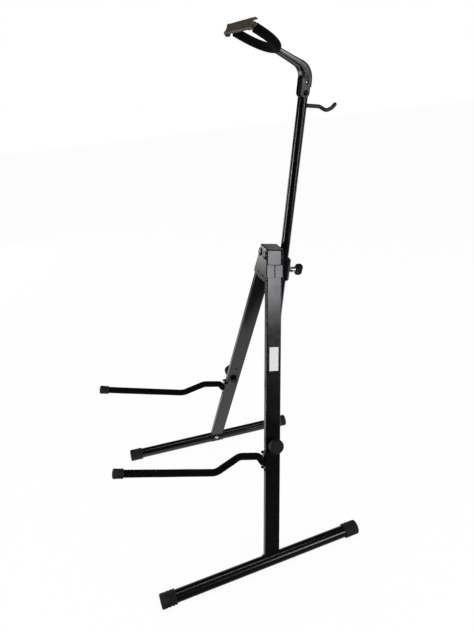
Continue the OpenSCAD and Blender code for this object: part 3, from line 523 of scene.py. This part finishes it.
hook_sleeve = skin_mesh("bow_hook_dip", placed(rings.reshape(-1, 3), neck) * MM,
                        faces_between(len(rings), hook_points, closed=False), vinyl)
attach(hook_sleeve, "post")
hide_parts("bow_hook_sleeve")

# %% [markdown]
# ## Floor and backdrop
#
# The photograph has a plain white ground. Lighting a floor until it is white would wash out the black
# stand, so the floor's own colour does it: rays from the camera see mostly a flat white, and only the
# rest is ordinary paint, which keeps the stand's soft shadow. Reflections see the white floor only round
# and behind the stand. In front of it and on the camera's side the floor counts as dark, because black
# enamel there mirrors black.

# %% White floor
def fade(tree, value, start, end, least):
    """Runs smoothly from least to 1 while the value runs from start to end."""
    span = {"From Min": start, "From Max": end, "To Min": least, "To Max": 1.0}
    smooth = add(tree, "ShaderNodeMapRange", span, {"Value": value}, interpolation_type="SMOOTHSTEP")
    return smooth.outputs["Result"]


def product(tree, first, *others):
    """The product of the values, one multiplication after the other."""
    for other in others:
        first = add(tree, "ShaderNodeMath", {}, {0: first, 1: other}, operation="MULTIPLY").outputs["Value"]
    return first


def ray_kinds(tree):
    """Two values that are 1 or 0: is this ray the camera's own, and is it a mirrored or a passing one."""
    path = add(tree, "ShaderNodeLightPath").outputs
    mirrored = add(tree, "ShaderNodeMath", {}, {0: path["Is Glossy Ray"], 1: path["Is Transmission Ray"]},
                   operation="MAXIMUM")
    return path["Is Camera Ray"], mirrored.outputs["Value"]


floor_points = [(-7, -7, 0), (1, -7, 0), (1, 7, 0), (-7, 7, 0)]
white_share, camera_white = 0.9, 1.05
floor_paint, tree, shader, metres = begin("studio_floor", "#e6e6e6", Roughness=0.9, Specular_IOR_Level=0.0)
tint(tree, shader, noise(tree, metres, 0.5, 2.0), "#e3e3e3", "#eaeaea")
direct, mirrored = ray_kinds(tree)
seen = add(tree, "ShaderNodeMath", {}, {0: direct, 1: mirrored}, operation="MAXIMUM")
share = add(tree, "ShaderNodeMath", {1: white_share}, {0: seen.outputs["Value"]}, operation="MULTIPLY")
spot = add(tree, "ShaderNodeSeparateXYZ", {}, {"Vector": metres}).outputs
lit = product(tree, fade(tree, spot["X"], 0.28, 0.12, 0.01), fade(tree, spot["X"], -2.0, -1.1, 0.1),
              fade(tree, spot["Y"], -0.8, -0.45, 0.05))
white = add(tree, "ShaderNodeEmission", {"Color": (1, 1, 1, 1), "Strength": camera_white})
white_here = add(tree, "ShaderNodeEmission", {"Color": (1, 1, 1, 1)}, {"Strength": lit})
glow = add(tree, "ShaderNodeMixShader", {}, {"Fac": mirrored, 1: white.outputs["Emission"],
                                             2: white_here.outputs["Emission"]})
both = add(tree, "ShaderNodeMixShader", {}, {"Fac": share.outputs["Value"], 1: shader.outputs["BSDF"],
                                             2: glow.outputs["Shader"]})
tree.links.new(both.outputs["Shader"], tree.nodes["Material Output"].inputs["Surface"])
floor = bpy.data.meshes.new("studio_floor")
floor.from_pydata(floor_points, [], [(0, 1, 2, 3)])
floor.materials.append(floor_paint)
floor_piece = bpy.data.objects.new("studio_floor", floor)
scene.collection.objects.link(floor_piece)
print("Floor", [round(size, 2) for size in floor_piece.dimensions], "m")

# %% [markdown]
# ## World
#
# The camera sees a white world. For reflections, the white backdrop stands on the far side, reaches about
# 15 degrees up and ends towards the stand's front. Everything else is dark studio, which is what keeps
# black enamel black. All other light from the world is an even grey fill.

# %% Backdrop, dark studio and fill
fill_light = 0.4
world = bpy.data.worlds.new("Studio")
scene.world = world
world.use_nodes = True
tree = world.node_tree
way = add(tree, "ShaderNodeTexCoord").outputs["Generated"]
parts = add(tree, "ShaderNodeSeparateXYZ", {}, {"Vector": way}).outputs
backdrop = product(tree, fade(tree, parts["Z"], 0.28, 0.03, 0.0), fade(tree, parts["X"], 0.35, -0.1, 0.03),
                   fade(tree, parts["Y"], -0.3, 0.05, 0.06))
direct, mirrored = ray_kinds(tree)
glossy = add(tree, "ShaderNodeBackground", {}, {"Strength": backdrop})
fill = add(tree, "ShaderNodeBackground", {"Strength": fill_light})
plain = add(tree, "ShaderNodeBackground", {"Strength": 1.0})
for ground in (glossy, fill, plain):
    ground.inputs["Color"].default_value = (1, 1, 1, 1)
under = add(tree, "ShaderNodeMixShader", {}, {"Fac": mirrored, 1: fill.outputs["Background"],
                                              2: glossy.outputs["Background"]})
whole = add(tree, "ShaderNodeMixShader", {}, {"Fac": direct, 1: under.outputs["Shader"],
                                              2: plain.outputs["Background"]})
tree.links.new(whole.outputs["Shader"], tree.nodes["World Output"].inputs["Surface"])
print("World fill", fill_light)

# %% [markdown]
# ## Lamps
#
# Gloss black shows its lamps. A wide soft box stands 2.2 m to the stand's right: the end of the head, the
# outer face of the near leg and the side of the neck mirror it, and because the box ends below, the leg
# fades to black further down. Two narrow boxes, one behind and one in front, draw the thin bright lines
# along the post, a dim wide one on the left lights the head's front plate, and a small one overhead gives
# the foot bars their line.

# %% Soft boxes


def soft_box(name, place, target, width, height, radiance, colour="#ffffff"):
    """A rectangular lamp that looks at target. Its power is radiance times pi times its area, in watts."""
    lamp = bpy.data.lights.new(name, "AREA")
    lamp.shape = "RECTANGLE"
    lamp.size, lamp.size_y = width, height
    lamp.energy = radiance * math.pi * width * height
    lamp.color = linear(colour)[:3]
    holder = bpy.data.objects.new(name, lamp)
    aim = Vector(target) - Vector(place)
    holder.matrix_world = Matrix.Translation(place) @ aim.to_track_quat("-Z", "Y").to_matrix().to_4x4()
    holder.visible_camera = False
    scene.collection.objects.link(holder)
    print(name, round(lamp.energy, 1), "W")


soft_box("side_box", place=(2.2, 1.06, 1.2), target=(0, 0.2, 0.8), width=0.8, height=0.66, radiance=9.2,
         colour="#f8f8ff")
soft_box("rear_strip", place=(2.08, 1.7, 0.42), target=(0, 0.15, 0.6), width=0.2, height=0.9, radiance=12)
soft_box("front_box", place=(0.3, -2.4, 0.62), target=(0, 0, 0.6), width=0.3, height=1.0, radiance=20)
soft_box("back_box", place=(-2.2, -1.3, 0.35), target=(0, 0.1, 0.57), width=1.2, height=0.7, radiance=3,
         colour="#fffcf8")
soft_box("top_box", place=(0.12, 0.25, 2.6), target=(0.12, 0.3, 0.5), width=0.34, height=0.95, radiance=6.2,
         colour="#fff6ec")

# %% [markdown]
# ## Closing
#
# The view transform is Standard, so that a colour renders about as it is written.

# %% Colour management
scene.view_settings.view_transform = "Standard"
